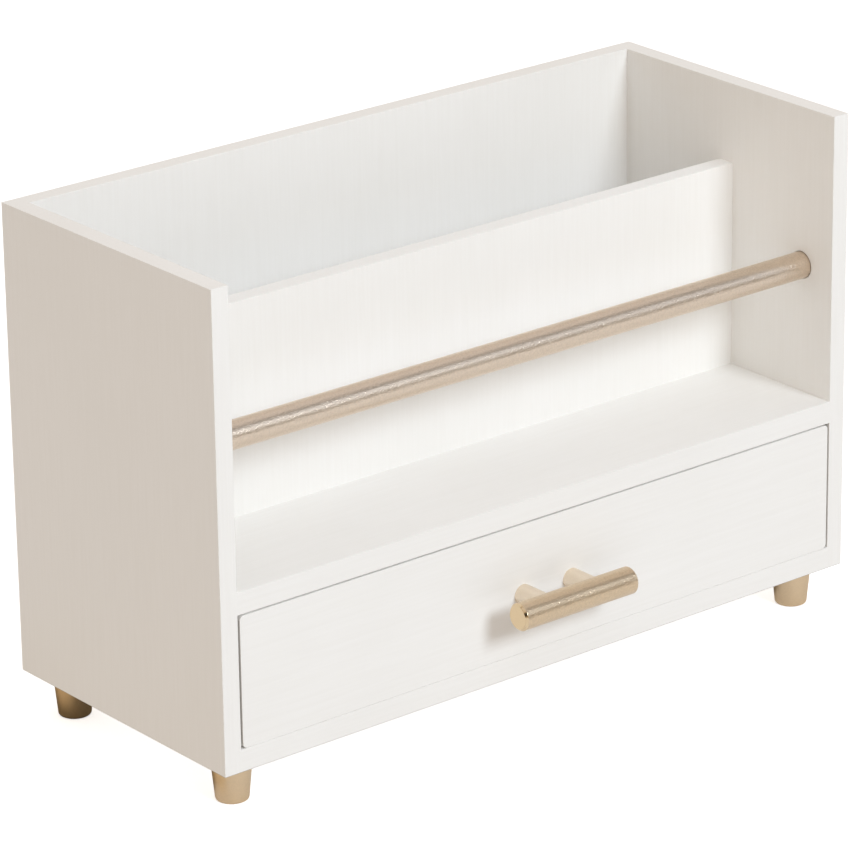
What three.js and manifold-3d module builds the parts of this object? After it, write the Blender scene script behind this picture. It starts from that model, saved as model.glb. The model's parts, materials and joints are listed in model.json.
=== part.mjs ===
// A desk organizer: a painted board carcass on four metal feet, with a tall rear compartment,
// a front shelf behind a round metal rail, and one drawer with a T-bar handle.
// Millimetres. +X is the organizer's right as seen from the front, -Y the front, +Z up.
// The origin is on the floor, under the middle of the whole organizer with its handle.
import * as THREE from 'three';
import { mergeVertices } from 'three/addons/utils/BufferGeometryUtils.js';
import Module from 'manifold-3d';

const wasm = await Module();
wasm.setup();

// ---- Driving dimensions ----

// Carcass, without the feet and the handle.
const WIDTH = 340;
const DEPTH = 142;
const HEIGHT = 208;
const UPRIGHT_BOARD = 8.5; // sides, back, divider and drawer front
const LEVEL_BOARD = 10; // shelf and bottom
const SHELF_TOP = 78.5; // above the underside of the carcass
const DIVIDER_FRONT = 63.5; // behind the front edge
const DIVIDER_TOP = 172; // above the underside of the carcass

// Rail across the front shelf: a tube let into a blind socket in each side.
const RAIL_RADIUS = 6;
const RAIL_WALL = 1;
const RAIL_BACK = 19.25; // its axis, behind the front edge
const RAIL_UP = 136.5; // its axis, above the underside of the carcass
const SOCKET_DEPTH = 4;

// Feet: turned cones, each held by one wood screw in a counterbore.
const FOOT_HEIGHT = 19;
const FOOT_TOP_RADIUS = 8.8;
const FOOT_BASE_RADIUS = 7;
const FOOT_EDGE_ROUND = 1.25;
const FOOT_INSET_SIDE = 15; // foot axis, in from the outer side face
const FOOT_INSET_END = 16; // foot axis, in from the front and back faces
const FOOT_COUNTERBORE_DEPTH = 6;

// Drawer, inset between the sides and flush with the front edges.
const DRAWER_SIDE_GAP = 0.9;
const DRAWER_TOP_GAP = 0.6;
const DRAWER_UNDER_GAP = 0.12;
const DRAWER_REAR_GAP = 0.5;
const DRAWER_BOARD = 7; // drawer sides and back
const DRAWER_BOX_HEIGHT = 44;
const DRAWER_FRONT_ROUND = 2;
const DRAWER_FRONT_EASE = 0.5;
const DRAWER_BOTTOM_BOARD = 3;
const DRAWER_BOTTOM_UP = 5; // its underside, above the drawer's lower edge
const DRAWER_BOTTOM_INTO_FRONT = 4;
const DRAWER_BOTTOM_INTO_BOX = 3.5;
const GROOVE_CLEARANCE = 0.25;

// T-bar handle.
const BAR_RADIUS = 6;
const BAR_LENGTH = 62;
const BAR_CHAMFER = 1;
const BAR_REACH = 17.5; // its axis, in front of the drawer front
const BAR_UP = 36.5; // its axis, above the underside of the carcass
const POST_RADIUS = 4.6;
const POST_SPACING = 26.5;
const SPIGOT_RADIUS = 2.5;
const SPIGOT_LENGTH = 5;

// Fasteners. A dowel or shank stands clear of its hole by HOLE_CLEARANCE all round.
const HOLE_CLEARANCE = 0.25;
const DOWEL_CHAMFER = 0.5;
const CARCASS_DOWEL = { radius: 2.5, inFace: 5.5, inEnd: 16.5 };
const DRAWER_DOWEL = { radius: 2, inFace: 4.5, inEnd: 11 };
const FOOT_SCREW = { radius: 1.75, length: 20, headRadius: 3.4, headHeight: 2.2, tip: 3 };
const HANDLE_SCREW = { radius: 2, length: 16.5, headRadius: 3.9, headHeight: 2.6, tip: 0.5 };

// Facets round a full turn.
const DOWEL_FACETS = 12;
const SCREW_FACETS = 12;
const FOOT_FACETS = 32;
const BAR_FACETS = 36;

// ---- Derived places ----

const halfWidth = WIDTH / 2;
const bayHalf = halfWidth - UPRIGHT_BOARD; // inner faces of the sides
const backFace = DEPTH - UPRIGHT_BOARD; // front face of the back panel
const shelfUnder = SHELF_TOP - LEVEL_BOARD;
const dividerBack = DIVIDER_FRONT + UPRIGHT_BOARD;
const frontY = (BAR_REACH + BAR_RADIUS - DEPTH) / 2; // front edge of the carcass, in the organizer's frame

const SIDES = [
  ['left', -1],
  ['right', 1],
];
const X = new THREE.Vector3(1, 0, 0);
const Y = new THREE.Vector3(0, 1, 0);
const Z = new THREE.Vector3(0, 0, 1);

// ---- Materials ----

const FINISHES = {
  paint: { color: 0xf3f0ea, roughness: 0.45, metalness: 0 },
  champagne: { color: 0xc9a97c, roughness: 0.38, metalness: 1 },
  beech: { color: 0xd3b283, roughness: 0.7, metalness: 0 },
  zinc: { color: 0xb8b9b6, roughness: 0.35, metalness: 1 },
};

// ---- Solids ----

function solidFrom(geometry) {
  const bare = geometry.clone();
  bare.deleteAttribute('normal');
  bare.deleteAttribute('uv');
  const merged = mergeVertices(bare);
  const mesh = new wasm.Mesh({
    numProp: 3,
    vertProperties: merged.getAttribute('position').array,
    triVerts: new Uint32Array(merged.index.array),
  });
  return new wasm.Manifold(mesh);
}

function geometryFrom(solid) {
  const { numProp, vertProperties, triVerts } = solid.getMesh();
  const shared = new THREE.BufferGeometry();
  const points = new Float32Array(vertProperties);
  shared.setAttribute('position', new THREE.BufferAttribute(points, numProp));
  shared.setIndex(new THREE.BufferAttribute(new Uint32Array(triVerts), 1));
  const faceted = shared.toNonIndexed();
  faceted.computeVertexNormals();
  return faceted;
}

// A block given by its lowest and highest corners.
function block(low, high) {
  const size = high.map((value, i) => value - low[i]);
  const middle = high.map((value, i) => (value + low[i]) / 2);
  const box = new THREE.BoxGeometry(...size);
  box.translate(...middle);
  return solidFrom(box);
}

// Turns a geometry made along +Y so that it runs along another direction, from a start point.
function aim(geometry, start, direction) {
  geometry.applyQuaternion(new THREE.Quaternion().setFromUnitVectors(Y, direction));
  geometry.translate(start.x, start.y, start.z);
  return geometry;
}

// A cylinder from a start point along a direction.
function rod(radius, start, direction, length, facets) {
  const cylinder = new THREE.CylinderGeometry(radius, radius, length, facets);
  cylinder.translate(0, length / 2, 0);
  return solidFrom(aim(cylinder, start, direction));
}

// A turned piece from a closed profile of [radius, distance along] pairs.
function turned(profile, start, direction, facets) {
  const points = profile.map(([radius, along]) => new THREE.Vector2(radius, along));
  return solidFrom(aim(new THREE.LatheGeometry(points, facets), start, direction));
}

// A bar with both ends chamfered.
function chamferedBar(radius, chamfer, start, direction, length, facets) {
  const profile = [
    [0, 0],
    [radius - chamfer, 0],
    [radius, chamfer],
    [radius, length - chamfer],
    [radius - chamfer, length],
    [0, length],
  ];
  return turned(profile, start, direction, facets);
}

// A pan-head screw. The start is where its head seats; the shank runs along the direction.
function panHeadScrew({ radius, length, headRadius, headHeight, tip }, start, direction) {
  const crown = headHeight * 0.35;
  const profile = [
    [0, -headHeight],
    [headRadius * 0.6, -headHeight],
    [headRadius, crown - headHeight],
    [headRadius, 0],
    [radius, 0],
    [radius, length - tip],
    [radius * 0.3, length],
    [0, length],
  ];
  return turned(profile, start, direction, SCREW_FACETS);
}

// ---- Assemblies ----

// A group of named meshes. Boards are kept as solids until every hole in them is cut.
class Assembly {
  constructor(x, y, z) {
    this.group = new THREE.Group();
    this.group.position.set(x, y, z);
    this.boards = new Map();
  }

  // Each mesh has its own origin at the middle of its piece.
  addMesh(name, solid, finish) {
    const geometry = geometryFrom(solid);
    geometry.computeBoundingBox();
    const middle = geometry.boundingBox.getCenter(new THREE.Vector3());
    geometry.translate(-middle.x, -middle.y, -middle.z);
    const mesh = new THREE.Mesh(geometry, new THREE.MeshStandardMaterial(FINISHES[finish]));
    mesh.name = name;
    mesh.position.copy(middle);
    this.group.add(mesh);
  }

  addBoard(name, solid) {
    this.boards.set(name, solid);
  }

  cut(names, cutter) {
    for (const name of names) {
      this.boards.set(name, this.boards.get(name).subtract(cutter));
    }
  }

  // A dowel across the joint where the end of one board meets the face of another.
  // The point is on the joint, and the direction runs from the face board into the end board.
  addDowel(name, faceBoard, endBoard, { radius, inFace, inEnd }, point, direction) {
    const length = inFace + inEnd;
    const start = point.clone().addScaledVector(direction, -inFace);
    const dowel = chamferedBar(radius, DOWEL_CHAMFER, start, direction, length, DOWEL_FACETS);
    const holeStart = start.clone().addScaledVector(direction, -HOLE_CLEARANCE * 2);
    const holeLength = length + HOLE_CLEARANCE * 4;
    const hole = rod(radius + HOLE_CLEARANCE, holeStart, direction, holeLength, DOWEL_FACETS);
    this.cut([faceBoard, endBoard], hole);
    this.addMesh(name, dowel, 'beech');
  }

  addBoardMeshes() {
    for (const [name, solid] of this.boards) {
      this.addMesh(name, solid, 'paint');
    }
  }
}

// ---- Carcass ----

function addCarcassBoards(carcass) {
  const across = (y0, z0, y1, z1) => block([-bayHalf, y0, z0], [bayHalf, y1, z1]);
  carcass.addBoard('left_side_panel', block([-halfWidth, 0, 0], [-bayHalf, DEPTH, HEIGHT]));
  carcass.addBoard('right_side_panel', block([bayHalf, 0, 0], [halfWidth, DEPTH, HEIGHT]));
  carcass.addBoard('back_panel', across(backFace, 0, DEPTH, HEIGHT));
  carcass.addBoard('bottom_panel', across(0, 0, backFace, LEVEL_BOARD));
  carcass.addBoard('shelf_panel', across(0, shelfUnder, backFace, SHELF_TOP));
  carcass.addBoard('divider_panel', across(DIVIDER_FRONT, SHELF_TOP, dividerBack, DIVIDER_TOP));
}

// Dowels from each side panel into the ends of the boards between them.
function addSideDowels(carcass) {
  const levelRows = { front: 44, back: 98 };
  const dividerRows = { low: 108, high: 146 };
  const backRows = { low: 40, high: 170 };
  const places = [];
  for (const [row, y] of Object.entries(levelRows)) {
    places.push(['bottom', row, y, LEVEL_BOARD / 2]);
    places.push(['shelf', row, y, SHELF_TOP - LEVEL_BOARD / 2]);
  }
  for (const [row, z] of Object.entries(dividerRows)) {
    places.push(['divider', row, DIVIDER_FRONT + UPRIGHT_BOARD / 2, z]);
  }
  for (const [row, z] of Object.entries(backRows)) {
    places.push(['back', row, DEPTH - UPRIGHT_BOARD / 2, z]);
  }
  for (const [side, sign] of SIDES) {
    for (const [board, row, y, z] of places) {
      const name = `dowel_${side}_${board}_${row}`;
      const point = new THREE.Vector3(sign * bayHalf, y, z);
      const inward = X.clone().multiplyScalar(-sign);
      carcass.addDowel(name, `${side}_side_panel`, `${board}_panel`, CARCASS_DOWEL, point, inward);
    }
  }
}

// Dowels from the shelf up into the divider, and from the back panel into the shelf and bottom.
function addInnerDowels(carcass) {
  const columns = { left: -100, middle: 0, right: 100 };
  for (const [column, x] of Object.entries(columns)) {
    const name = `dowel_divider_${column}`;
    const point = new THREE.Vector3(x, DIVIDER_FRONT + UPRIGHT_BOARD / 2, SHELF_TOP);
    carcass.addDowel(name, 'shelf_panel', 'divider_panel', CARCASS_DOWEL, point, Z);
  }
  const levels = { shelf: SHELF_TOP - LEVEL_BOARD / 2, bottom: LEVEL_BOARD / 2 };
  const forward = Y.clone().negate();
  for (const [level, z] of Object.entries(levels)) {
    for (const column of ['left', 'right']) {
      const name = `dowel_rear_${level}_${column}`;
      const point = new THREE.Vector3(columns[column], backFace, z);
      carcass.addDowel(name, 'back_panel', `${level}_panel`, CARCASS_DOWEL, point, forward);
    }
  }
}

function addRail(carcass) {
  const tubeHalf = bayHalf + SOCKET_DEPTH - HOLE_CLEARANCE;
  const start = new THREE.Vector3(-tubeHalf, RAIL_BACK, RAIL_UP);
  const outer = rod(RAIL_RADIUS, start, X, 2 * tubeHalf, BAR_FACETS);
  const inner = rod(RAIL_RADIUS - RAIL_WALL, start, X, 2 * tubeHalf, BAR_FACETS);
  carcass.addMesh('front_rail', outer.subtract(inner), 'champagne');
  for (const [side, sign] of SIDES) {
    const mouth = new THREE.Vector3(sign * bayHalf, RAIL_BACK, RAIL_UP);
    const outward = X.clone().multiplyScalar(sign);
    const socket = rod(RAIL_RADIUS + HOLE_CLEARANCE, mouth, outward, SOCKET_DEPTH, BAR_FACETS);
    carcass.cut([`${side}_side_panel`], socket);
  }
}

// One foot, hanging from the point where its axis meets the underside of the carcass.
function footSolid(top) {
  const bore = FOOT_SCREW.radius + HOLE_CLEARANCE;
  const counterbore = FOOT_SCREW.headRadius + 3 * HOLE_CLEARANCE;
  const edge = new THREE.Path();
  edge.absarc(FOOT_BASE_RADIUS - FOOT_EDGE_ROUND, FOOT_EDGE_ROUND, FOOT_EDGE_ROUND, -Math.PI / 2, 0);
  const profile = [
    [bore, FOOT_HEIGHT],
    [bore, FOOT_COUNTERBORE_DEPTH],
    [counterbore, FOOT_COUNTERBORE_DEPTH],
    [counterbore, 0],
    ...edge.getPoints(2).map((point) => point.toArray()),
    [FOOT_TOP_RADIUS, FOOT_HEIGHT],
    [bore, FOOT_HEIGHT],
  ];
  const base = top.clone().addScaledVector(Z, -FOOT_HEIGHT);
  return turned(profile, base, Z, FOOT_FACETS);
}

function addFeet(carcass) {
  const rows = { front: FOOT_INSET_END, back: DEPTH - FOOT_INSET_END };
  for (const [row, y] of Object.entries(rows)) {
    for (const [side, sign] of SIDES) {
      const top = new THREE.Vector3(sign * (halfWidth - FOOT_INSET_SIDE), y, 0);
      const seat = top.clone().addScaledVector(Z, FOOT_COUNTERBORE_DEPTH - FOOT_HEIGHT);
      const pilotDepth = FOOT_SCREW.length + FOOT_COUNTERBORE_DEPTH - FOOT_HEIGHT + HOLE_CLEARANCE;
      const pilot = rod(FOOT_SCREW.radius + HOLE_CLEARANCE, top, Z, pilotDepth, SCREW_FACETS);
      carcass.cut(['bottom_panel'], pilot);
      carcass.addMesh(`foot_${row}_${side}`, footSolid(top), 'champagne');
      carcass.addMesh(`foot_screw_${row}_${side}`, panHeadScrew(FOOT_SCREW, seat, Z), 'zinc');
    }
  }
}

// The carcass frame has its origin at the bottom of the front edge, half way across.
function makeCarcass() {
  const carcass = new Assembly(0, frontY, FOOT_HEIGHT);
  addCarcassBoards(carcass);
  addSideDowels(carcass);
  addInnerDowels(carcass);
  addRail(carcass);
  addFeet(carcass);
  carcass.addBoardMeshes();
  return carcass.group;
}

// ---- Drawer ----

const drawerHalf = bayHalf - DRAWER_SIDE_GAP;
const drawerInnerHalf = drawerHalf - DRAWER_BOARD;
const drawerFrontHeight = shelfUnder - LEVEL_BOARD - DRAWER_TOP_GAP - DRAWER_UNDER_GAP;
const drawerRear = backFace - DRAWER_REAR_GAP;
const drawerBackFace = drawerRear - DRAWER_BOARD;
const drawerBase = LEVEL_BOARD + DRAWER_UNDER_GAP; // above the underside of the carcass

// The drawer front, with its corners rounded and its edges eased.
function drawerFrontSolid() {
  const round = DRAWER_FRONT_ROUND;
  const outline = new THREE.Shape();
  outline.absarc(drawerHalf - round, round, round, -Math.PI / 2, 0);
  outline.absarc(drawerHalf - round, drawerFrontHeight - round, round, 0, Math.PI / 2);
  outline.absarc(round - drawerHalf, drawerFrontHeight - round, round, Math.PI / 2, Math.PI);
  outline.absarc(round - drawerHalf, round, round, Math.PI, Math.PI * 1.5);
  const board = new THREE.ExtrudeGeometry(outline, {
    depth: UPRIGHT_BOARD - 2 * DRAWER_FRONT_EASE,
    bevelThickness: DRAWER_FRONT_EASE,
    bevelSize: DRAWER_FRONT_EASE,
    bevelOffset: -DRAWER_FRONT_EASE,
    bevelSegments: 1,
    curveSegments: 3,
  });
  board.rotateX(Math.PI / 2);
  board.translate(0, UPRIGHT_BOARD - DRAWER_FRONT_EASE, 0);
  return solidFrom(board);
}

function addDrawerBoards(drawer) {
  const top = DRAWER_BOX_HEIGHT;
  drawer.addBoard('drawer_front', drawerFrontSolid());
  for (const [side, sign] of SIDES) {
    const [x0, x1] = [sign * drawerHalf, sign * drawerInnerHalf].sort((a, b) => a - b);
    drawer.addBoard(`drawer_${side}_side`, block([x0, UPRIGHT_BOARD, 0], [x1, drawerRear, top]));
  }
  const back = block([-drawerInnerHalf, drawerBackFace, 0], [drawerInnerHalf, drawerRear, top]);
  drawer.addBoard('drawer_back', back);
}

// The thin bottom, held in a groove round the inside of the four boards.
function addDrawerBottom(drawer) {
  const x = drawerInnerHalf + DRAWER_BOTTOM_INTO_BOX;
  const low = [-x, UPRIGHT_BOARD - DRAWER_BOTTOM_INTO_FRONT, DRAWER_BOTTOM_UP];
  const high = [x, drawerBackFace + DRAWER_BOTTOM_INTO_BOX, DRAWER_BOTTOM_UP + DRAWER_BOTTOM_BOARD];
  const groove = block(
    low.map((value) => value - GROOVE_CLEARANCE),
    high.map((value) => value + GROOVE_CLEARANCE),
  );
  drawer.cut(['drawer_front', 'drawer_left_side', 'drawer_right_side', 'drawer_back'], groove);
  drawer.addBoard('drawer_bottom', block(low, high));
}

function addDrawerDowels(drawer) {
  const rows = { low: 15, high: 36 };
  for (const [side, sign] of SIDES) {
    const sideBoard = `drawer_${side}_side`;
    const inward = X.clone().multiplyScalar(-sign);
    for (const [row, z] of Object.entries(rows)) {
      const corner = `${side}_${row}`;
      const frontName = `drawer_dowel_front_${corner}`;
      const backName = `drawer_dowel_back_${corner}`;
      const atFront = new THREE.Vector3(sign * (drawerHalf - DRAWER_BOARD / 2), UPRIGHT_BOARD, z);
      const atBack = new THREE.Vector3(sign * drawerInnerHalf, drawerRear - DRAWER_BOARD / 2, z);
      drawer.addDowel(frontName, 'drawer_front', sideBoard, DRAWER_DOWEL, atFront, Y);
      drawer.addDowel(backName, sideBoard, 'drawer_back', DRAWER_DOWEL, atBack, inward);
    }
  }
}

// The handle: each post is saddled to the bar, with a spigot in the bar, and is held to the
// drawer front by a machine screw from inside the drawer.
function addHandle(drawer) {
  const up = BAR_UP - drawerBase;
  const forward = Y.clone().negate();
  const barStart = new THREE.Vector3(-BAR_LENGTH / 2, -BAR_REACH, up);
  let bar = chamferedBar(BAR_RADIUS, BAR_CHAMFER, barStart, X, BAR_LENGTH, BAR_FACETS);
  const saddle = rod(BAR_RADIUS + HOLE_CLEARANCE, barStart, X, BAR_LENGTH, BAR_FACETS);
  const spigotReach = BAR_REACH - BAR_RADIUS + SPIGOT_LENGTH;
  const spigotHoleRadius = SPIGOT_RADIUS + HOLE_CLEARANCE;
  const screwHoleRadius = HANDLE_SCREW.radius + HOLE_CLEARANCE;
  const screwHoleDepth = HANDLE_SCREW.length + HOLE_CLEARANCE;
  for (const [side, sign] of SIDES) {
    const root = new THREE.Vector3((sign * POST_SPACING) / 2, 0, up);
    const seat = root.clone().addScaledVector(Y, UPRIGHT_BOARD);
    const spigot = rod(SPIGOT_RADIUS, root, forward, spigotReach, SCREW_FACETS);
    const spigotHole = rod(spigotHoleRadius, root, forward, spigotReach + HOLE_CLEARANCE, SCREW_FACETS);
    const screwHole = rod(screwHoleRadius, seat, forward, screwHoleDepth, SCREW_FACETS);
    const post = rod(POST_RADIUS, root, forward, BAR_REACH, BAR_FACETS)
      .subtract(saddle)
      .add(spigot)
      .subtract(screwHole);
    bar = bar.subtract(spigotHole);
    drawer.cut(['drawer_front'], screwHole);
    drawer.addMesh(`handle_post_${side}`, post, 'champagne');
    drawer.addMesh(`handle_screw_${side}`, panHeadScrew(HANDLE_SCREW, seat, forward), 'zinc');
  }
  drawer.addMesh('handle_bar', bar, 'champagne');
}

// The drawer frame has its origin under the middle of the drawer front's face.
function makeDrawer() {
  const drawer = new Assembly(0, frontY, FOOT_HEIGHT + drawerBase);
  addDrawerBoards(drawer);
  addDrawerBottom(drawer);
  addDrawerDowels(drawer);
  addHandle(drawer);
  drawer.addBoardMeshes();
  return drawer.group;
}

const organizer = new THREE.Group();
organizer.add(makeCarcass(), makeDrawer());

export default organizer;
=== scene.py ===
"""Looks of the desk organizer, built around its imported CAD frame.

A white painted board carcass on four metal feet, with a tall rear compartment, a front shelf
behind a round metal rail, and one drawer with a T-bar handle.
Metres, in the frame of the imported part: +X right, -Y front, +Z up, origin on the floor.
"""

import json
import math

import bmesh
import bpy
from mathutils import Matrix, Vector

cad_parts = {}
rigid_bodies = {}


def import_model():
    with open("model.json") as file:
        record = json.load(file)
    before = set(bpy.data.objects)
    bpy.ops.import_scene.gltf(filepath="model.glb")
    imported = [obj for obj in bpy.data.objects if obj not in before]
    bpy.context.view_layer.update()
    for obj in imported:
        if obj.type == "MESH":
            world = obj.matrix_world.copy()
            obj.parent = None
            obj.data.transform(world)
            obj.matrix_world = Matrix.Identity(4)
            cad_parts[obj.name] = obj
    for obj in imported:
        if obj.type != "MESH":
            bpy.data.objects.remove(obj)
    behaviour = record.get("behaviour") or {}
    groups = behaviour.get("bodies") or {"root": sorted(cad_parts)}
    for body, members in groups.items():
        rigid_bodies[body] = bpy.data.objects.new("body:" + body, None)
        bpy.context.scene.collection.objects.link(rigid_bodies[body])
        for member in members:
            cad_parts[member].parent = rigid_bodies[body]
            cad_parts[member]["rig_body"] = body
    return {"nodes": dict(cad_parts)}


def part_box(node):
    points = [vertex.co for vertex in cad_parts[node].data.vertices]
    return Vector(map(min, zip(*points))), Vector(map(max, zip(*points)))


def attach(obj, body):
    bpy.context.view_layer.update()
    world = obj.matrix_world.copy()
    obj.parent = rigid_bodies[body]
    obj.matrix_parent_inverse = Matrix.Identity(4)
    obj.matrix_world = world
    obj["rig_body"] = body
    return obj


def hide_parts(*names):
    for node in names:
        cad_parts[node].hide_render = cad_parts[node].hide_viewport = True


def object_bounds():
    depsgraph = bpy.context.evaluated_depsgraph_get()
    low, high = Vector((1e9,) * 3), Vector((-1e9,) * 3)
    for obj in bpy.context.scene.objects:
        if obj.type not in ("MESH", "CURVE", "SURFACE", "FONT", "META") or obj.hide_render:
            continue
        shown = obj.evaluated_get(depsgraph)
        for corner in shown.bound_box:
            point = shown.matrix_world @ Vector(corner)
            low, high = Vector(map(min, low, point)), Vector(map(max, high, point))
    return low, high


MM = 0.001
X, Y, Z = range(3)  # the axes, as indices

# ---- Edges of the boards ----

CARCASS_EDGE = 0.3 * MM  # rounding of every outer edge of the carcass
DRAWER_CORNER = 2.0 * MM  # rounding of the drawer front's four corners
DRAWER_EDGE = 0.12 * MM  # easing round the drawer front's faces
BOX_EDGE = 0.35 * MM  # easing of the drawer's sides and back
BOTTOM_EDGE = 0.2 * MM  # easing of the drawer's thin bottom
EDGE_STEPS = 3
OUTWARD_FOLD = math.radians(60)  # an outward fold steeper than this is an edge to round
CREASE = math.radians(35)  # a steeper fold between two faces is a sharp edge
FLAT_FOLD = math.radians(0.1)  # a shallower fold is part of one flat face
MERGE_DISTANCE = 0.002 * MM

# ---- Fits ----

CLEARANCE = 0.25 * MM  # between a dowel, shank or tube and its hole
DOWEL_END_ROOM = 0.5 * MM
GROOVE_ROOM = 0.25 * MM  # round the drawer's bottom
SADDLE_GAP = 0.03 * MM  # a seam too thin to see between a post and the bar

# ---- Round pieces ----

FINE_FACETS = 96  # feet, rail and handle
SMALL_FACETS = 48  # screws and the holes for them and for dowels
FILLET_STEPS = 4
RAIL_WALL = 1.0 * MM
RAIL_EDGE = 0.2 * MM
FOOT_TOP_RADIUS = 8.8 * MM
FOOT_BASE_RADIUS = 7.0 * MM
FOOT_BASE_ROUND = 1.25 * MM
COUNTERBORE_DEPTH = 6.0 * MM
COUNTERBORE_RADIUS = 4.15 * MM
COUNTERBORE_EDGE = 0.25 * MM
BAR_CHAMFER = 1.0 * MM
HANDLE_EDGE = 0.12 * MM
POST_RADIUS = 4.6 * MM
SPIGOT_RADIUS = 2.5 * MM
SPIGOT_LENGTH = 5.0 * MM  # inside the bar
SPIGOT_ROOT = 1.5 * MM  # inside the post

# shank: radius, head: height, thread: pitch, point: length of the plain end
FOOT_SCREW = {"shank": 1.75 * MM, "head": 2.2 * MM, "thread": 1.2 * MM, "point": 3.0 * MM}
HANDLE_SCREW = {"shank": 2.0 * MM, "head": 2.6 * MM, "thread": 0.7 * MM, "point": 0.5 * MM}
THREAD_DEPTH = 0.28 * MM
THREAD_START = 1.5 * MM  # from the underside of the head
THREAD_ROWS = 6  # of vertices in a turn
CROWN_SHARE = 0.55  # of the head's height, rounded over
HEAD_EDGE = 0.2 * MM
TIP_SHARE = 0.3  # of the shank's radius, at the end of the point
RECESS_WIDTH = 0.9 * MM
RECESS_SHARE = 0.62  # of the head's radius and of its height
RECESS_TAPER = 0.55  # of the recess's width, at its floor
FLUTES = 16
FLUTE_DEPTH = 0.16 * MM
DOWEL_CHAMFER = 0.5 * MM

# ---- Marks on faces, read by the materials ----

EDGE_WEAR_AND_SHADE = "edge_wear_and_shade"  # how much a face of a painted board is darkened, 0 to 1: a little wear on its edges, and painted shade round the underside and in the drawer front's gaps
UNDERSIDE_PAINTED_SHADE = 1.0  # painted shade on the edges round the underside of the carcass, which face down
PLAIN_ARRIS = 0.06  # on every other edge
GAP_PAINTED_SHADE = 0.35  # painted shade on the sides of the drawer front, in their narrow gaps
CUT_END = "cut_end"  # 1 on the end faces of a metal bar, 0 round it
SMALLEST_FLAT = 0.9999  # of a unit normal along one axis, on a flat face
SMALLEST_END = 0.1  # of a unit normal along the bar, on its end faces and chamfers

# ---- Colours and finishes ----

PAINT_TONES = ((0.937, 0.924, 0.896), (0.955, 0.943, 0.918))
GRAIN_COLOUR = (0.86, 0.84, 0.80)
# the colour of worn edges, and of the painted shade on the underside edges and in the drawer
# front's gaps
WEAR_AND_SHADE_COLOUR = (0.45, 0.43, 0.40)
PAINT_SPECULAR = 0.4
PAINT_GRAIN_ALONG = 28.0  # noise cells in a metre
PAINT_GRAIN_ACROSS = 900.0
BEECH_GRAIN = (260.0, 1500.0, 1500.0)  # noise cells in a metre along X, Y and Z
BEECH_TONES = ((0.52, 0.34, 0.19), (0.70, 0.52, 0.32))
BEECH_FLECK = (0.42, 0.26, 0.14)
ZINC_TONES = ((0.52, 0.53, 0.52), (0.66, 0.66, 0.64))
FLOOR_TONES = ((0.90, 0.90, 0.90), (0.92, 0.92, 0.92))

# Champagne metal, with the depth of its blasting and how far that moves the colour. The tint is
# paler on the rail and posts and deeper on the bar and feet: painted light, standing in for how
# each piece is lit.
RAIL_METAL = {"tint": (0.74, 0.62, 0.50), "roughness": 0.28, "depth": 0.16 * MM, "contrast": 0.06}
BAR_METAL = {"tint": (0.71, 0.56, 0.39), "roughness": 0.28, "depth": 0.16 * MM, "contrast": 0.06}
POST_METAL = {"tint": (0.85, 0.74, 0.60), "roughness": 0.31, "depth": 0.01 * MM, "contrast": 0.02}
FOOT_METAL = {"tint": (0.75, 0.59, 0.40), "roughness": 0.45, "depth": 0.01 * MM, "contrast": 0.02}
CLOUD_ROUGHNESS = 0.015  # the most that clouds add
CUT_METAL = (0.79, 0.62, 0.40)  # on the bar's ends
CUT_END_DEPTH = 0.05  # of the blasting's depth
CUT_END_ROUGHNESS = 0.5  # of the roughness round the bar

# ---- Camera, aimed near the middle of the organizer ----

CAMERA_AZIMUTH = math.radians(-38.91)
CAMERA_ELEVATION = math.radians(21.15)
CAMERA_ROLL = math.radians(-0.8)
CAMERA_DISTANCE = 2.126
CAMERA_LENS = 212.9
CAMERA_SENSOR = 36
CAMERA_CLIP_START = 0.05
AIM_RIGHT = -0.013
AIM_UP = -0.0026

# ---- Studio ----

FLOOR_SIZE = 30.0
FLOOR_GLOW = 0.6
BACKDROP_GLOW = 1.0
BACKDROP_FACETS = 64
CARD_MARGIN = 0.08
CARD_SETBACK = 0.030  # from the front of the handle bar back to level with the feet
CARD_OVERHANG = 0.002  # to the left of the organizer
CARD_THICKNESS = 0.1 * MM
# painted shadow on the floor, seen only in the metal: dark under the organizer, paler to its left
UNDER_SHADOW_CARD = {"inset": 0.022, "tones": ((0.11, 0.08, 0.02), (0.13, 0.09, 0.025))}
BESIDE_SHADOW_CARD = {"inset": 0.0, "tones": ((0.76, 0.62, 0.40), (0.80, 0.66, 0.43))}
SURROUNDINGS = (  # (height of a direction, -1 down to 1 up; light from there)
    (-0.85, (0.46, 0.43, 0.41)),
    (-0.45, (0.76, 0.72, 0.69)),
    (-0.02, (0.76, 0.72, 0.69)),
    (0.02, (0.65, 0.535, 0.405)),
    (0.34, (0.65, 0.535, 0.405)),
    (0.84, (0.80, 0.78, 0.785)),
)
DIM_PATCHES = (  # dimmed to a share within a core, fading out to a reach, both in degrees
    {"direction": (0.586, -0.69, 0.42), "core": 31, "reach": 42, "share": 0.38},
    {"direction": (-0.81, -0.48, 0.30), "core": 9, "reach": 17, "share": 0.05},
)
LIGHT_DISTANCE = 4.0
KEY = {"direction": (0.11, -1.0, 0.60), "size": 1.25, "power": 83.5, "color": (0.82, 0.91, 1.0)}
GLINT = {  # only the metal shows it
    "direction": (0.586, -0.65, 0.472),
    "size": 2.4,
    "power": 12.0,
    "color": (0.63, 0.73, 0.88),
}


# ---- Solids ----


def block(low, high):
    """A box from its lowest and highest corners."""
    bm = bmesh.new()
    size = Vector(high) - Vector(low)
    middle = (Vector(high) + Vector(low)) / 2
    matrix = Matrix.Translation(middle) @ Matrix.Diagonal(size).to_4x4()
    bmesh.ops.create_cube(bm, size=1, matrix=matrix)
    return bm


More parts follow.
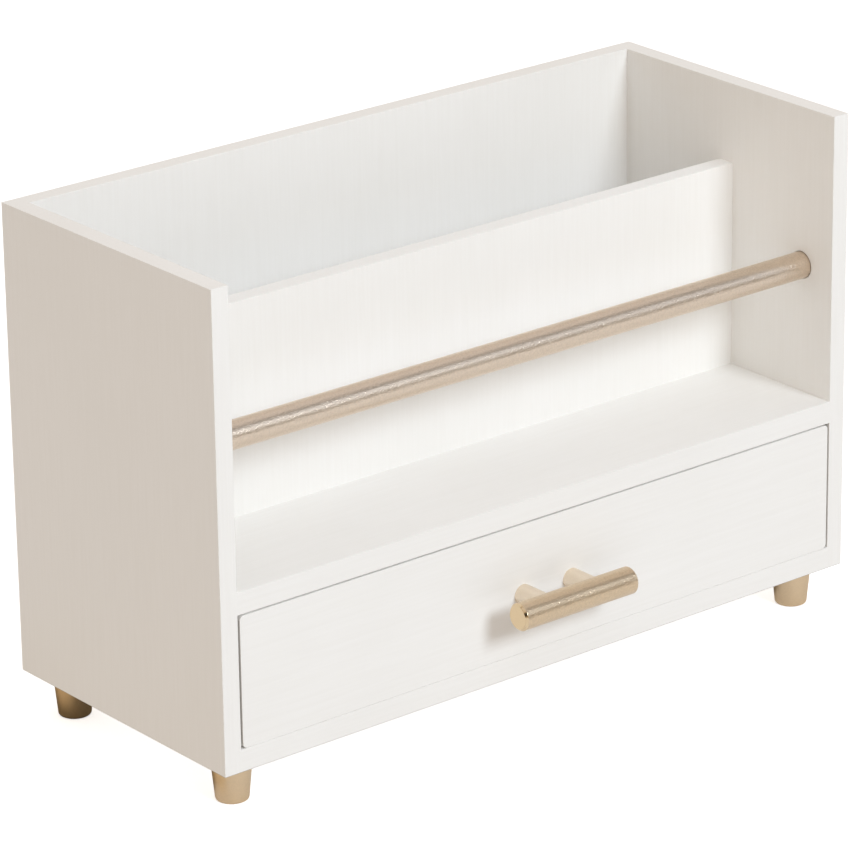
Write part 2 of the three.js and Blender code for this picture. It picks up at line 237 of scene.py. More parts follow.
def filleted(corners):
    """A profile of (radius, height) points with each (radius, height, fillet) corner rounded."""
    points = []
    for index, (radius, height, fillet) in enumerate(corners):
        here = Vector((radius, height))
        if not fillet:
            points.append(here)
            continue
        before = Vector(corners[index - 1][:2]) - here
        after = Vector(corners[(index + 1) % len(corners)][:2]) - here
        start = here + before.normalized() * fillet
        end = here + after.normalized() * fillet
        for step in range(FILLET_STEPS + 1):
            share = step / FILLET_STEPS
            points.append(start.lerp(here, share).lerp(here.lerp(end, share), share))
    return [tuple(point) for point in points]


def turned(profile, facets, closed=False, relief=None):
    """A body turned about +Z from (radius, height) pairs. A closed profile makes a ring.
    relief(angle, radius, height) is taken off the radius at each point."""
    bm = bmesh.new()
    rings = []
    for radius, height in profile:
        if radius == 0:
            rings.append([bm.verts.new((0, 0, height))] * facets)
            continue
        ring = []
        for step in range(facets):
            angle = 2 * math.pi * step / facets
            reach = radius - relief(angle, radius, height) if relief else radius
            ring.append(bm.verts.new((reach * math.cos(angle), reach * math.sin(angle), height)))
        rings.append(ring)
    pairs = list(zip(rings, rings[1:]))
    if closed:
        pairs.append((rings[-1], rings[0]))
    for lower, upper in pairs:
        for step in range(facets):
            following = (step + 1) % facets
            corners = [lower[step], lower[following], upper[following], upper[step]]
            distinct = list(dict.fromkeys(corners))
            if len(distinct) > 2:
                bm.faces.new(distinct)
    bmesh.ops.recalc_face_normals(bm, faces=bm.faces)
    return bm


def aimed(bm, start, direction):
    """Moves a body made along +Z so that it runs from a start point along a direction."""
    turn = Vector((0, 0, 1)).rotation_difference(Vector(direction)).to_matrix().to_4x4()
    bmesh.ops.transform(bm, matrix=Matrix.Translation(Vector(start)) @ turn, verts=bm.verts)
    return bm


def rod(radius, start, direction, length, facets=SMALL_FACETS):
    """A plain cylinder, used to cut holes."""
    profile = [(0, 0), (radius, 0), (radius, length), (0, length)]
    return aimed(turned(profile, facets), start, direction)


def to_object(name, bm):
    """Puts a body into the scene and frees it."""
    mesh = bpy.data.meshes.new(name)
    bm.to_mesh(mesh)
    bm.free()
    piece = bpy.data.objects.new(name, mesh)
    bpy.context.scene.collection.objects.link(piece)
    return piece


def combine(piece, bm, operation):
    """Cuts a solid from a piece (DIFFERENCE), joins it on (UNION), or keeps what they share
    (INTERSECT)."""
    tool = to_object("tool", bm)
    modifier = piece.modifiers.new("combine", "BOOLEAN")
    modifier.operation = operation
    modifier.solver = "MANIFOLD"
    modifier.object = tool
    depsgraph = bpy.context.evaluated_depsgraph_get()
    mesh = bpy.data.meshes.new_from_object(piece.evaluated_get(depsgraph))
    old_meshes = [piece.data, tool.data]
    piece.modifiers.clear()
    piece.data = mesh
    bpy.data.objects.remove(tool)
    for old in old_meshes:
        bpy.data.meshes.remove(old)
    mesh.name = piece.name


def ease(bm, edges, width, steps=EDGE_STEPS):
    """Rounds some edges of a solid."""
    bmesh.ops.bevel(
        bm,
        geom=edges,
        offset=width,
        offset_type="OFFSET",
        segments=steps,
        profile=0.5,
        affect="EDGES",
        clamp_overlap=True,
        loop_slide=False,
    )
    return bm


def is_outer_edge(edge):
    return edge.calc_face_angle_signed(0) > OUTWARD_FOLD


def eased(bm, width):
    """Rounds every outward edge of a solid."""
    return ease(bm, [edge for edge in bm.edges if is_outer_edge(edge)], width)


# ---- Reading the frame ----


def box_of(node):
    """A CAD node's corners, to a hundredth of a millimetre."""
    low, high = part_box(node)
    return tuple(Vector([round(value, 5) for value in corner]) for corner in (low, high))


def middle_of(node):
    low, high = box_of(node)
    return (low + high) / 2


def overlaps(first, second):
    """Whether two nodes' boxes share some space."""
    (low_a, high_a), (low_b, high_b) = box_of(first), box_of(second)
    return all(low_a[i] < high_b[i] and low_b[i] < high_a[i] for i in range(3))


def long_axis(node):
    low, high = box_of(node)
    size = list(high - low)
    return size.index(max(size))


def axis_vector(axis, sign=1):
    direction = Vector((0, 0, 0))
    direction[axis] = sign
    return direction


def nodes_named(*starts):
    return [node for node in sorted(frame["nodes"]) if node.startswith(starts)]


# ---- Materials ----


class Shader:
    """A material's node tree, with its Principled shader and object coordinates in metres."""

    def __init__(self, name):
        self.material = bpy.data.materials.new(name)
        self.material.use_nodes = True
        self.tree = self.material.node_tree
        self.principled = self.tree.nodes["Principled BSDF"]
        self.coordinates = self.tree.nodes.new("ShaderNodeTexCoord").outputs["Object"]

    def link(self, source, target):
        self.tree.links.new(source, target)

    def stretched(self, scale):
        mapping = self.tree.nodes.new("ShaderNodeMapping")
        mapping.inputs["Scale"].default_value = scale
        self.link(self.coordinates, mapping.inputs["Vector"])
        return mapping.outputs["Vector"]

    def noise(self, scale, detail=2.0, vector=None):
        node = self.tree.nodes.new("ShaderNodeTexNoise")
        node.inputs["Scale"].default_value = scale
        node.inputs["Detail"].default_value = detail
        self.link(vector or self.coordinates, node.inputs["Vector"])
        return node.outputs["Fac"]

    def spread(self, value, low, high, start=0.3, end=0.7):
        """Maps a noise value from its usual range to low..high."""
        node = self.tree.nodes.new("ShaderNodeMapRange")
        node.inputs["From Min"].default_value = start
        node.inputs["From Max"].default_value = end
        node.inputs["To Min"].default_value = low
        node.inputs["To Max"].default_value = high
        self.link(value, node.inputs["Value"])
        return node.outputs["Result"]

    def blend(self, factor, low, high):
        """A colour between two, each an RGB triple or a socket."""
        node = self.tree.nodes.new("ShaderNodeMix")
        node.data_type = "RGBA"
        colour_inputs = [socket for socket in node.inputs if socket.type == "RGBA"]
        for socket, colour in zip(colour_inputs, (low, high)):
            if isinstance(colour, tuple):
                socket.default_value = (*colour, 1)
            else:
                self.link(colour, socket)
        self.link(factor, node.inputs["Factor"])
        return next(socket for socket in node.outputs if socket.type == "RGBA")

    def toned(self, value, tones):
        """A colour that a noise value moves between two tones."""
        return self.blend(self.spread(value, 0.0, 1.0), *tones)

    def times(self, first, second):
        node = self.tree.nodes.new("ShaderNodeMath")
        node.operation = "MULTIPLY"
        self.link(first, node.inputs[0])
        self.link(second, node.inputs[1])
        return node.outputs["Value"]

    def attribute(self, name):
        node = self.tree.nodes.new("ShaderNodeAttribute")
        node.attribute_name = name
        return node.outputs["Fac"]

    def bump(self, height, depth, under=None):
        """Adds relief of a depth in metres over any earlier relief."""
        node = self.tree.nodes.new("ShaderNodeBump")
        node.inputs["Distance"].default_value = depth
        node.inputs["Strength"].default_value = 1.0
        self.link(height, node.inputs["Height"])
        if under:
            self.link(under, node.inputs["Normal"])
        return node.outputs["Normal"]

    def finish(self, colour, roughness, normal, **constants):
        """Links the three sockets and sets constants, named with _ for a space."""
        self.link(colour, self.principled.inputs["Base Color"])
        self.link(roughness, self.principled.inputs["Roughness"])
        self.link(normal, self.principled.inputs["Normal"])
        for name, value in constants.items():
            self.principled.inputs[name.replace("_", " ")].default_value = value
        return self.material


def white_paint(name, grain_axis):
    """Sprayed satin paint over fine-grained board. The grain telegraphs faintly through it."""
    shader = Shader(name)
    scale = [PAINT_GRAIN_ACROSS] * 3
    scale[grain_axis] = PAINT_GRAIN_ALONG
    clouds = shader.noise(scale=14.0, detail=3.0)
    grain = shader.noise(scale=1.0, detail=2.0, vector=shader.stretched(scale))
    peel = shader.noise(scale=520.0, detail=1.0)
    tone = shader.toned(clouds, PAINT_TONES)
    grained = shader.blend(shader.spread(grain, low=0.0, high=0.22), tone, GRAIN_COLOUR)
    # darker on worn edges, and with painted shade on the underside edges and in the drawer front's
    # gaps
    colour = shader.blend(shader.attribute(EDGE_WEAR_AND_SHADE), grained, WEAR_AND_SHADE_COLOUR)
    roughness = shader.spread(clouds, low=0.40, high=0.48)
    normal = shader.bump(peel, depth=0.025 * MM)
    normal = shader.bump(grain, depth=0.015 * MM, under=normal)
    return shader.finish(colour, roughness, normal, Specular_IOR_Level=PAINT_SPECULAR)


def champagne_metal(name, tint, roughness, depth, contrast):
    """Blasted and lacquered champagne-gold metal. The ends, cut after blasting, are smoother."""
    shader = Shader(name)
    sparkle = shader.noise(scale=1250.0, detail=1.0)
    clouds = shader.noise(scale=45.0, detail=2.0)
    blasted = shader.spread(shader.attribute(CUT_END), 1.0, CUT_END_DEPTH, start=0.0, end=1.0)
    deeper = tuple((1 - contrast) * value for value in tint)
    paler = tuple((1 + contrast) * value for value in tint)
    colour = shader.blend(blasted, CUT_METAL, shader.toned(sparkle, (deeper, paler)))
    clouded = shader.spread(clouds, roughness, roughness + CLOUD_ROUGHNESS)
    end_share = shader.spread(blasted, CUT_END_ROUGHNESS, 1.0, start=0.0, end=1.0)
    normal = shader.bump(shader.times(sparkle, blasted), depth)
    return shader.finish(colour, shader.times(clouded, end_share), normal, Metallic=1.0)


def beech_wood():
    """Pale turned beech with short flecks along the grain."""
    shader = Shader("beech_wood")
    grain = shader.noise(scale=1.0, detail=4.0, vector=shader.stretched(BEECH_GRAIN))
    flecks = shader.noise(scale=2600.0, detail=1.0)
    tone = shader.toned(grain, BEECH_TONES)
    colour = shader.blend(shader.spread(flecks, low=0.0, high=0.3), tone, BEECH_FLECK)
    roughness = shader.spread(grain, low=0.6, high=0.75)
    normal = shader.bump(grain, depth=0.04 * MM)
    return shader.finish(colour, roughness, normal)


def zinc_plate():
    """Bright zinc plating with a slight bloom."""
    shader = Shader("zinc_plate")
    bloom = shader.noise(scale=700.0, detail=3.0)
    colour = shader.toned(bloom, ZINC_TONES)
    roughness = shader.spread(bloom, low=0.26, high=0.4)
    normal = shader.bump(bloom, depth=0.01 * MM)
    return shader.finish(colour, roughness, normal, Metallic=1.0)


# ---- Finishing a piece ----


def mark_wear_and_painted_shade(mesh, node):
    """Marks the rounded edges with a little wear, and paints shade on the edges round the underside
    of the carcass and on the sides of the drawer front in their narrow gaps."""
    underside = box_of("bottom_panel")[0].z
    values = mesh.attributes.new(EDGE_WEAR_AND_SHADE, "FLOAT", "FACE").data
    for polygon in mesh.polygons:
        flat = max(abs(value) for value in polygon.normal) > SMALLEST_FLAT
        if not flat:
            lowest = polygon.center.z < underside + CARCASS_EDGE
            values[polygon.index].value = UNDERSIDE_PAINTED_SHADE if lowest else PLAIN_ARRIS
        elif node == "drawer_front" and abs(polygon.normal.x) > SMALLEST_FLAT:
            values[polygon.index].value = GAP_PAINTED_SHADE


def mark_cut_ends(mesh, axis):
    """Marks the end faces and chamfers of a bar that lies along an axis."""
    values = mesh.attributes.new(CUT_END, "FLOAT", "FACE").data
    for polygon in mesh.polygons:
        values[polygon.index].value = float(abs(polygon.normal[axis]) > SMALLEST_END)


def finish_piece(piece, node, material):
    """Shades a piece, gives it its material, and puts it in place of a CAD node."""
    mesh = piece.data
    mesh.materials.clear()
    mesh.materials.append(material)
    for polygon in mesh.polygons:
        polygon.use_smooth = True
    mesh.set_sharp_from_angle(angle=CREASE)
    piece.modifiers.new("normals", "WEIGHTED_NORMAL").keep_sharp = True
    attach(piece, frame["nodes"][node]["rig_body"])
    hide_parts(node)


def tidy_flats(piece):
    """Merges what a cut left split on one flat face."""
    bm = bmesh.new()
    bm.from_mesh(piece.data)
    bmesh.ops.remove_doubles(bm, verts=bm.verts, dist=MERGE_DISTANCE)
    bmesh.ops.dissolve_limit(bm, angle_limit=FLAT_FOLD, verts=bm.verts, edges=bm.edges)
    bm.to_mesh(piece.data)
    bm.free()


def finish_board(piece, node, material):
    tidy_flats(piece)
    mark_wear_and_painted_shade(piece.data, node)
    finish_piece(piece, node, material)


# ---- Boards ----


def dowel_holes(board):
    """A hole for each dowel that enters a board."""
    holes = []
    for node in nodes_named("dowel_", "drawer_dowel_"):
        if not overlaps(node, board):
            continue
        axis = long_axis(node)
        low, high = box_of(node)
        radius = min(high - low) / 2 + CLEARANCE
        start = middle_of(node)
        start[axis] = low[axis] - DOWEL_END_ROOM
        length = high[axis] - low[axis] + 2 * DOWEL_END_ROOM
        holes.append(rod(radius, start, axis_vector(axis), length))
    return holes


def rail_sockets():
    """The round sockets in the side panels that the rail's ends sit in."""
    low, high = box_of("front_rail")
    radius = (high.z - low.z) / 2 + CLEARANCE
    start = middle_of("front_rail")
    start.x = low.x - CLEARANCE
    return [rod(radius, start, axis_vector(X), high.x - low.x + 2 * CLEARANCE, FINE_FACETS)]


def foot_pilots():
    """The holes up into the bottom panel for the foot screws."""
    holes = []
    for node in nodes_named("foot_screw_"):
        low, high = box_of(node)
        radius = FOOT_SCREW["shank"] + CLEARANCE
        holes.append(rod(radius, middle_of(node), axis_vector(Z), (high.z - low.z) / 2 + CLEARANCE))
    return holes


def handle_holes():
    """The holes through the drawer front for the handle screws."""
    holes = []
    for node in nodes_named("handle_screw_"):
        low, high = box_of(node)
        radius = HANDLE_SCREW["shank"] + CLEARANCE
        start = middle_of(node)
        start.y = low.y
        holes.append(rod(radius, start, axis_vector(Y), high.y - low.y))
    return holes


def carcass_solid(boards):
    """The glued boards as one solid on a grid of their corners, so that the paint runs
    unbroken over their joints."""
    boxes = [box_of(board) for board in boards]
    lines = [sorted({corner[i] for box in boxes for corner in box}) for i in range(3)]

    def filled(cell):
        if any(index < 0 or index >= len(line) - 1 for index, line in zip(cell, lines)):
            return False
        middle = [(line[index] + line[index + 1]) / 2 for index, line in zip(cell, lines)]
        return any(all(low[i] < middle[i] < high[i] for i in range(3)) for low, high in boxes)

    bm = bmesh.new()
    corners = {}

    def vertex(key):
        if key not in corners:
            corners[key] = bm.verts.new([line[index] for index, line in zip(key, lines)])
        return corners[key]

    cells = [
        (i, j, k)
        for i in range(len(lines[0]) - 1)
        for j in range(len(lines[1]) - 1)
        for k in range(len(lines[2]) - 1)
    ]
    for cell in filter(filled, cells):
        for axis in range(3):
            for side in (0, 1):
                neighbour = list(cell)
                neighbour[axis] += 1 if side else -1
                if filled(neighbour):
                    continue
                u, v = [other for other in range(3) if other != axis]
                ring = []
                for du, dv in ((0, 0), (1, 0), (1, 1), (0, 1)):
                    key = list(cell)
                    key[axis] += side
                    key[u] += du
                    key[v] += dv
                    ring.append(vertex(tuple(key)))
                bm.faces.new(ring)
    bmesh.ops.recalc_face_normals(bm, faces=bm.faces)
    return bm


def make_carcass_boards(upright_paint, level_paint):
    """Cuts the six boards out of the eased carcass, each with its own holes."""
    boards = {
        "left_side_panel": upright_paint,
        "right_side_panel": upright_paint,
        "back_panel": upright_paint,
        "divider_panel": upright_paint,
        "shelf_panel": level_paint,
        "bottom_panel": level_paint,
    }
    whole = eased(carcass_solid(boards), CARCASS_EDGE)
    for board, paint in boards.items():
        piece = to_object(f"{board}_finished", whole.copy())
        combine(piece, block(*box_of(board)), "INTERSECT")
        holes = dowel_holes(board)
        if "side" in board:
            holes += rail_sockets()
        if board == "bottom_panel":
            holes += foot_pilots()
        for hole in holes:
            combine(piece, hole, "DIFFERENCE")
        finish_board(piece, board, paint)
    whole.free()


def drawer_front_solid():
    bm = block(*box_of("drawer_front"))
    corners = [edge for edge in bm.edges if abs(edge.verts[0].co.y - edge.verts[1].co.y) > MM]
    ease(bm, corners, DRAWER_CORNER, 2 * EDGE_STEPS)
    return eased(bm, DRAWER_EDGE)


def make_drawer_boards(paint):
    """The drawer front, sides, back and thin bottom, with the groove that holds the bottom."""
    bottom_low, bottom_high = box_of("drawer_bottom")
    room = Vector((GROOVE_ROOM,) * 3)
    for board in ("drawer_front", "drawer_left_side", "drawer_right_side", "drawer_back"):
        is_front = board == "drawer_front"
        solid = drawer_front_solid() if is_front else eased(block(*box_of(board)), BOX_EDGE)
        piece = to_object(f"{board}_finished", solid)
        holes = dowel_holes(board) + [block(bottom_low - room, bottom_high + room)]
        if is_front:
            holes += handle_holes()
        for hole in holes:
            combine(piece, hole, "DIFFERENCE")
        finish_board(piece, board, paint)
    bottom = to_object("drawer_bottom_finished", eased(block(bottom_low, bottom_high), BOTTOM_EDGE))
    finish_board(bottom, "drawer_bottom", paint)


# ---- Metal pieces ----


def make_rail(metal):
    low, high = box_of("front_rail")
    radius = (high.z - low.z) / 2
    length = high.x - low.x
    corners = [
        (radius - RAIL_WALL, 0, RAIL_EDGE),
        (radius, 0, RAIL_EDGE),
        (radius, length, RAIL_EDGE),
        (radius - RAIL_WALL, length, RAIL_EDGE),
    ]
    start = middle_of("front_rail")
    start.x = low.x
    tube = aimed(turned(filleted(corners), FINE_FACETS, closed=True), start, axis_vector(X))
    finish_piece(to_object("front_rail_finished", tube), "front_rail", metal)


def make_feet(metal):
    """Turned feet: gently tapered cones with a rounded base and a counterbored screw hole."""
    bore = FOOT_SCREW["shank"] + CLEARANCE
    for node in nodes_named("foot_front", "foot_back"):
        low, high = box_of(node)
        height = high.z - low.z
        corners = [
            (bore, height, 0),
            (bore, COUNTERBORE_DEPTH, 0),
            (COUNTERBORE_RADIUS, COUNTERBORE_DEPTH, 0),
            (COUNTERBORE_RADIUS, 0, COUNTERBORE_EDGE),
            (FOOT_BASE_RADIUS, 0, FOOT_BASE_ROUND),
            (FOOT_TOP_RADIUS, height, 0),
        ]
        start = middle_of(node)
        start.z = low.z
        foot = aimed(turned(filleted(corners), FINE_FACETS, closed=True), start, axis_vector(Z))
        finish_piece(to_object(f"{node}_finished", foot), node, metal)


def screw_solid(screw, head_radius, length):
    """A pan-head screw: its head seats at the origin and its shank runs up +Z."""
    shank, head, pitch = screw["shank"], screw["head"], screw["thread"]
    thread_end = length - screw["point"]
    threaded = thread_end - THREAD_START
    rows = round(threaded / pitch * THREAD_ROWS)
    crown = [
        (0, -head, 0),
        (head_radius, -head, head * CROWN_SHARE),
        (head_radius, 0, HEAD_EDGE),
        (shank, 0, 0),
    ]
    profile = filleted(crown)
    profile += [(shank, THREAD_START + threaded * row / rows) for row in range(rows + 1)]
    profile += [(shank * TIP_SHARE, length), (0, length)]

    def thread(angle, radius, z):
        if not THREAD_START < z < thread_end or radius != shank:
            return 0
        turns = (z / pitch - angle / (2 * math.pi)) % 1
        return THREAD_DEPTH * abs(2 * turns - 1)

    return turned(profile, SMALL_FACETS, relief=thread)


def cross_recess(head_radius, head):
    """The cross-shaped socket in a screw head, tapering inward."""
    reach = head_radius * RECESS_SHARE
    depth = head * RECESS_SHARE
    arms = []
    for turn in (0, 1):
        size = [reach * 2, RECESS_WIDTH]
        if turn:
            size.reverse()
        low = (-size[0] / 2, -size[1] / 2, -head - MM)
        high = (size[0] / 2, size[1] / 2, -head + depth)
        arm = block(low, high)
        for vert in arm.verts:
            if vert.co.z > -head:
                vert.co.x *= RECESS_TAPER
                vert.co.y *= RECESS_TAPER
        arms.append(arm)
    return arms


def make_screw(node, screw, axis, sign, metal):
    """A screw whose shank points along an axis, forwards (sign 1) or backwards (-1)."""
    low, high = box_of(node)
    head_radius = max(high[other] - low[other] for other in range(3) if other != axis) / 2
    length = high[axis] - low[axis] - screw["head"]
    start = middle_of(node)
    start[axis] = low[axis] + screw["head"] if sign > 0 else high[axis] - screw["head"]
    direction = axis_vector(axis, sign)
    solid = aimed(screw_solid(screw, head_radius, length), start, direction)
    piece = to_object(f"{node}_finished", solid)
    for arm in cross_recess(head_radius, screw["head"]):
        combine(piece, aimed(arm, start, direction), "DIFFERENCE")
    finish_piece(piece, node, metal)


def make_screws(metal):
    for node in nodes_named("foot_screw_"):
        make_screw(node, FOOT_SCREW, Z, 1, metal)
    for node in nodes_named("handle_screw_"):
        make_screw(node, HANDLE_SCREW, Y, -1, metal)


def make_dowels(wood):
    """Fluted dowels with chamfered ends."""

    def flute(angle, radius, z):
        return FLUTE_DEPTH * (0.5 + 0.5 * math.cos(FLUTES * angle)) ** 2

    for node in nodes_named("dowel_", "drawer_dowel_"):
        axis = long_axis(node)
        low, high = box_of(node)
        radius = min(high - low) / 2
        length = high[axis] - low[axis]
        profile = [
            (0, 0),
            (radius - DOWEL_CHAMFER, 0),
            (radius, DOWEL_CHAMFER),
            (radius, length - DOWEL_CHAMFER),
            (radius - DOWEL_CHAMFER, length),
            (0, length),
        ]
        start = middle_of(node)
        start[axis] = low[axis]
        dowel = aimed(turned(profile, 4 * FLUTES, relief=flute), start, axis_vector(axis))
        finish_piece(to_object(f"{node}_finished", dowel), node, wood)


def make_bar():
    """The chamfered bar of the handle, before its spigot holes."""
    low, high = box_of("handle_bar")
    radius = (high.z - low.z) / 2
    length = high.x - low.x
    corners = [
        (0, 0, 0),
        (radius - BAR_CHAMFER, 0, HANDLE_EDGE),
        (radius, BAR_CHAMFER, HANDLE_EDGE),
        (radius, length - BAR_CHAMFER, HANDLE_EDGE),
        (radius - BAR_CHAMFER, length, HANDLE_EDGE),
        (0, length, 0),
    ]
    start = middle_of("handle_bar")
    start.x = low.x
    bar = aimed(turned(filleted(corners), FINE_FACETS), start, axis_vector(X))
    return to_object("handle_bar_finished", bar)


def make_post(node, root, reach):
    """A post as long as the bar's axis is far from its root, with a blind screw hole."""
    bore = HANDLE_SCREW["shank"] + CLEARANCE
    bore_end = root.y - box_of(node.replace("post", "screw"))[0].y + CLEARANCE
    corners = [
        (bore, 0, 0),
        (POST_RADIUS, 0, HANDLE_EDGE),
        (POST_RADIUS, reach, 0),
        (0, reach, 0),
        (0, bore_end, 0),
        (bore, bore_end, 0),
    ]
    post = turned(filleted(corners), FINE_FACETS, closed=True)
    return to_object(f"{node}_finished", aimed(post, root, axis_vector(Y, -1)))


def bar_saddle():
    """The bar's round shape, a little larger, which hollows the end of each post."""
    low, high = box_of("handle_bar")
    radius = (high.z - low.z) / 2 + SADDLE_GAP
    start = middle_of("handle_bar")
    start.x = low.x - MM
    return rod(radius, start, axis_vector(X), high.x - low.x + 2 * MM, FINE_FACETS)


def make_handle(bar_metal, post_metal):
    """The T-bar: a chamfered bar on two posts, each saddled to it round a spigot."""
    bar = make_bar()
    low, high = box_of("handle_bar")
    middle = middle_of("handle_bar")
    forward = axis_vector(Y, -1)
    face = box_of("drawer_front")[0].y
    reach = face - middle.y
    spigot_start = reach - (high.z - low.z) / 2 - SPIGOT_ROOT
    spigot_length = SPIGOT_ROOT + SPIGOT_LENGTH
    for node in nodes_named("handle_post_"):
        root = Vector((middle_of(node).x, face, middle.z))
        start = root + forward * spigot_start
        post = make_post(node, root, reach)
        combine(post, bar_saddle(), "DIFFERENCE")
        combine(post, rod(SPIGOT_RADIUS, start, forward, spigot_length), "UNION")
        hole = rod(SPIGOT_RADIUS + CLEARANCE, start, forward, spigot_length + CLEARANCE)
        combine(bar, hole, "DIFFERENCE")
        finish_piece(post, node, post_metal)
    mark_cut_ends(bar.data, X)
    finish_piece(bar, "handle_bar", bar_metal)


# ---- Studio ----


def make_camera(low, high):
    """A camera at the photograph's viewing angle, aimed beside the middle of the organizer."""
    sin, cos = math.sin, math.cos
    back = Vector(
        (
            sin(CAMERA_AZIMUTH) * cos(CAMERA_ELEVATION),
            -cos(CAMERA_AZIMUTH) * cos(CAMERA_ELEVATION),
            sin(CAMERA_ELEVATION),
        )
    )
    level_right = (-back).cross(Vector((0, 0, 1))).normalized()
    level_up = level_right.cross(-back)
    aim = (low + high) / 2 + level_right * AIM_RIGHT + level_up * AIM_UP
    right = level_right * cos(CAMERA_ROLL) + level_up * sin(CAMERA_ROLL)
    up = level_up * cos(CAMERA_ROLL) - level_right * sin(CAMERA_ROLL)
    data = bpy.data.cameras.new("camera")
    data.lens = CAMERA_LENS
    data.sensor_width = CAMERA_SENSOR
    data.clip_start = CAMERA_CLIP_START
    camera = bpy.data.objects.new("camera", data)
    bpy.context.scene.collection.objects.link(camera)
    rotation = Matrix((right, up, back)).transposed().to_4x4()
    camera.matrix_world = Matrix.Translation(aim + back * CAMERA_DISTANCE) @ rotation
    bpy.context.scene.camera = camera


def make_light(name, aim, direction, size, power, color):
    """A round soft light at the same distance as the others."""
    data = bpy.data.lights.new(name, "AREA")
    data.shape = "DISK"
    data.size = size
    data.energy = power
    data.color = color
    light = bpy.data.objects.new(name, data)
    bpy.context.scene.collection.objects.link(light)
    back = Vector(direction).normalized()
    turn = back.to_track_quat("Z", "Y").to_matrix().to_4x4()
    light.matrix_world = Matrix.Translation(aim + back * LIGHT_DISTANCE) @ turn
    return light


def stage_surface(name, bm, glow):
    """A plain pale surface round the object. It lights nothing: the surroundings do."""
    surface = to_object(name, bm)
    shader = Shader(name)
    fine = shader.noise(scale=90.0, detail=3.0)
    colour = shader.toned(fine, FLOOR_TONES)
    shader.principled.inputs["Emission Color"].default_value = (1, 1, 1, 1)
    relief = shader.bump(fine, depth=0.05 * MM)
    roughness = shader.spread(fine, low=0.7, high=0.8)
    surface.data.materials.append(shader.finish(colour, roughness, relief, Emission_Strength=glow))
    surface.visible_diffuse = False
    surface.visible_shadow = False
    return surface


def floor_plane():
    bm = bmesh.new()
    bmesh.ops.create_grid(bm, x_segments=1, y_segments=1, size=FLOOR_SIZE / 2)
    return bm


def make_floors():
    """The floor and backdrop that show, lit up to white, and the floor that the metal mirrors."""
    stage_surface("floor", floor_plane(), FLOOR_GLOW).visible_glossy = False
    stage_surface("mirrored_floor", floor_plane(), 0.0).visible_camera = False
    bm = bmesh.new()
    segments = {"u_segments": BACKDROP_FACETS, "v_segments": BACKDROP_FACETS // 2}
    bmesh.ops.create_uvsphere(bm, radius=FLOOR_SIZE / 2, **segments)
    stage_surface("backdrop", bm, BACKDROP_GLOW).visible_glossy = False


def shade_card(name, low, high, inset, tones):
    """A fibrous card on the floor that only the metal mirrors: a painted shadow in its reflections.
    """
    bottom = Vector((low[0], low[1] + inset, CARD_THICKNESS))
    card = to_object(name, block(bottom, Vector((*high, 2 * CARD_THICKNESS))))
    shader = Shader(name)
    fibre = shader.noise(scale=300.0, detail=3.0)
    colour = shader.toned(fibre, tones)
    relief = shader.bump(fibre, depth=0.05 * MM)
    roughness = shader.spread(fibre, low=0.8, high=0.9)
    card.data.materials.append(shader.finish(colour, roughness, relief))
    card.visible_camera = False
    card.visible_diffuse = False
    card.visible_shadow = False


def make_shade_cards(low, high):
    """A dark card under the organizer and a paler one to its left: the organizer's shadow on the
    floor, painted, for the metal to mirror.
    """
    front = low.y + CARD_SETBACK
    back = high.y + CARD_MARGIN
    left = low.x - CARD_OVERHANG
    shade_card("painted_shadow_under", (left, front), (high.x, back), **UNDER_SHADOW_CARD)
    shade_card("painted_shadow_beside", (low.x - CARD_MARGIN, front), (left, back), **BESIDE_SHADOW_CARD)


def smooth_fade(tree, value, start, end, low, high):
    fade = tree.nodes.new("ShaderNodeMapRange")
    fade.interpolation_type = "SMOOTHSTEP"
    fade.inputs["From Min"].default_value = start
    fade.inputs["From Max"].default_value = end
    fade.inputs["To Min"].default_value = low
    fade.inputs["To Max"].default_value = high
    tree.links.new(value, fade.inputs["Value"])
    return fade.outputs["Result"]


def dim_patch(tree, direction, patch):
    """The light's share by direction: 1, and less round the middle of a patch."""
    facing = tree.nodes.new("ShaderNodeVectorMath")
    facing.operation = "DOT_PRODUCT"
    facing.inputs[1].default_value = Vector(patch["direction"]).normalized()
    tree.links.new(direction, facing.inputs[0])
    reach = math.cos(math.radians(patch["reach"]))
    core = math.cos(math.radians(patch["core"]))
    return smooth_fade(tree, facing.outputs["Value"], reach, core, 1, patch["share"])


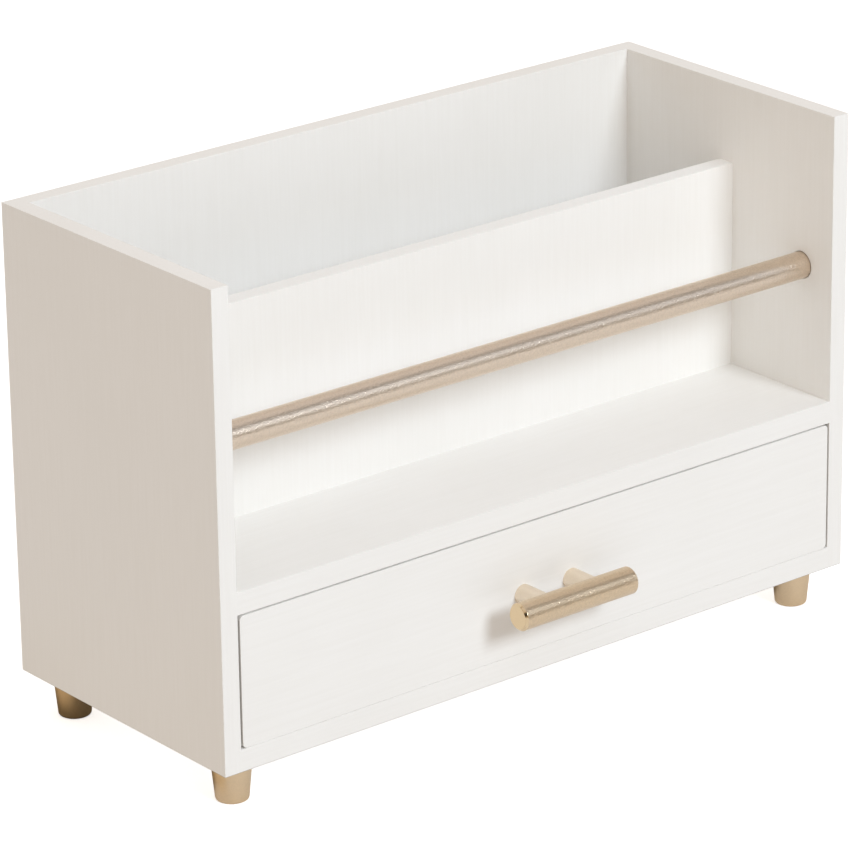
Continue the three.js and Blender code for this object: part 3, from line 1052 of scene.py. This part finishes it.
def make_surroundings():
    """Warm light from the sides, whiter from above and below, dimmer in two patches."""
    world = bpy.data.worlds.new("surroundings")
    world.use_nodes = True
    tree = world.node_tree
    background = tree.nodes["Background"]
    direction = tree.nodes.new("ShaderNodeTexCoord").outputs["Generated"]
    parts = tree.nodes.new("ShaderNodeSeparateXYZ")
    tree.links.new(direction, parts.inputs["Vector"])
    height = tree.nodes.new("ShaderNodeMapRange")
    height.inputs["From Min"].default_value = -1
    tree.links.new(parts.outputs["Z"], height.inputs["Value"])
    ramp = tree.nodes.new("ShaderNodeValToRGB")
    stops = ramp.color_ramp.elements
    while len(stops) < len(SURROUNDINGS):
        stops.new(1.0)
    for stop, (level, colour) in zip(stops, SURROUNDINGS):
        stop.position = (level + 1) / 2
        stop.color = (*colour, 1)
    tree.links.new(height.outputs["Result"], ramp.inputs["Fac"])
    tree.links.new(ramp.outputs["Color"], background.inputs["Color"])
    both = tree.nodes.new("ShaderNodeMath")
    both.operation = "MULTIPLY"
    for patch, share in zip(DIM_PATCHES, both.inputs):
        tree.links.new(dim_patch(tree, direction, patch), share)
    tree.links.new(both.outputs["Value"], background.inputs["Strength"])
    bpy.context.scene.world = world


def make_studio(low, high):
    """The floor, the surroundings, soft lights, and colours shown as they are."""
    middle = (low + high) / 2
    make_floors()
    make_shade_cards(low, high)
    make_surroundings()
    make_light("key", middle, **KEY)
    make_light("glint", middle, **GLINT).visible_diffuse = False
    view = bpy.context.scene.view_settings
    view.view_transform = "Standard"
    view.look = "None"


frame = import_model()
cad_low, cad_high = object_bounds()

upright_paint = white_paint("white_paint_upright", grain_axis=Z)
level_paint = white_paint("white_paint_level", grain_axis=X)
rail_metal = champagne_metal("champagne_rail", **RAIL_METAL)
bar_metal = champagne_metal("champagne_bar", **BAR_METAL)
post_metal = champagne_metal("champagne_post", **POST_METAL)
foot_metal = champagne_metal("champagne_foot", **FOOT_METAL)
make_carcass_boards(upright_paint, level_paint)
make_drawer_boards(level_paint)
make_rail(rail_metal)
make_feet(foot_metal)
make_handle(bar_metal, post_metal)
make_screws(zinc_plate())
make_dowels(beech_wood())

make_camera(cad_low, cad_high)
make_studio(cad_low, cad_high)
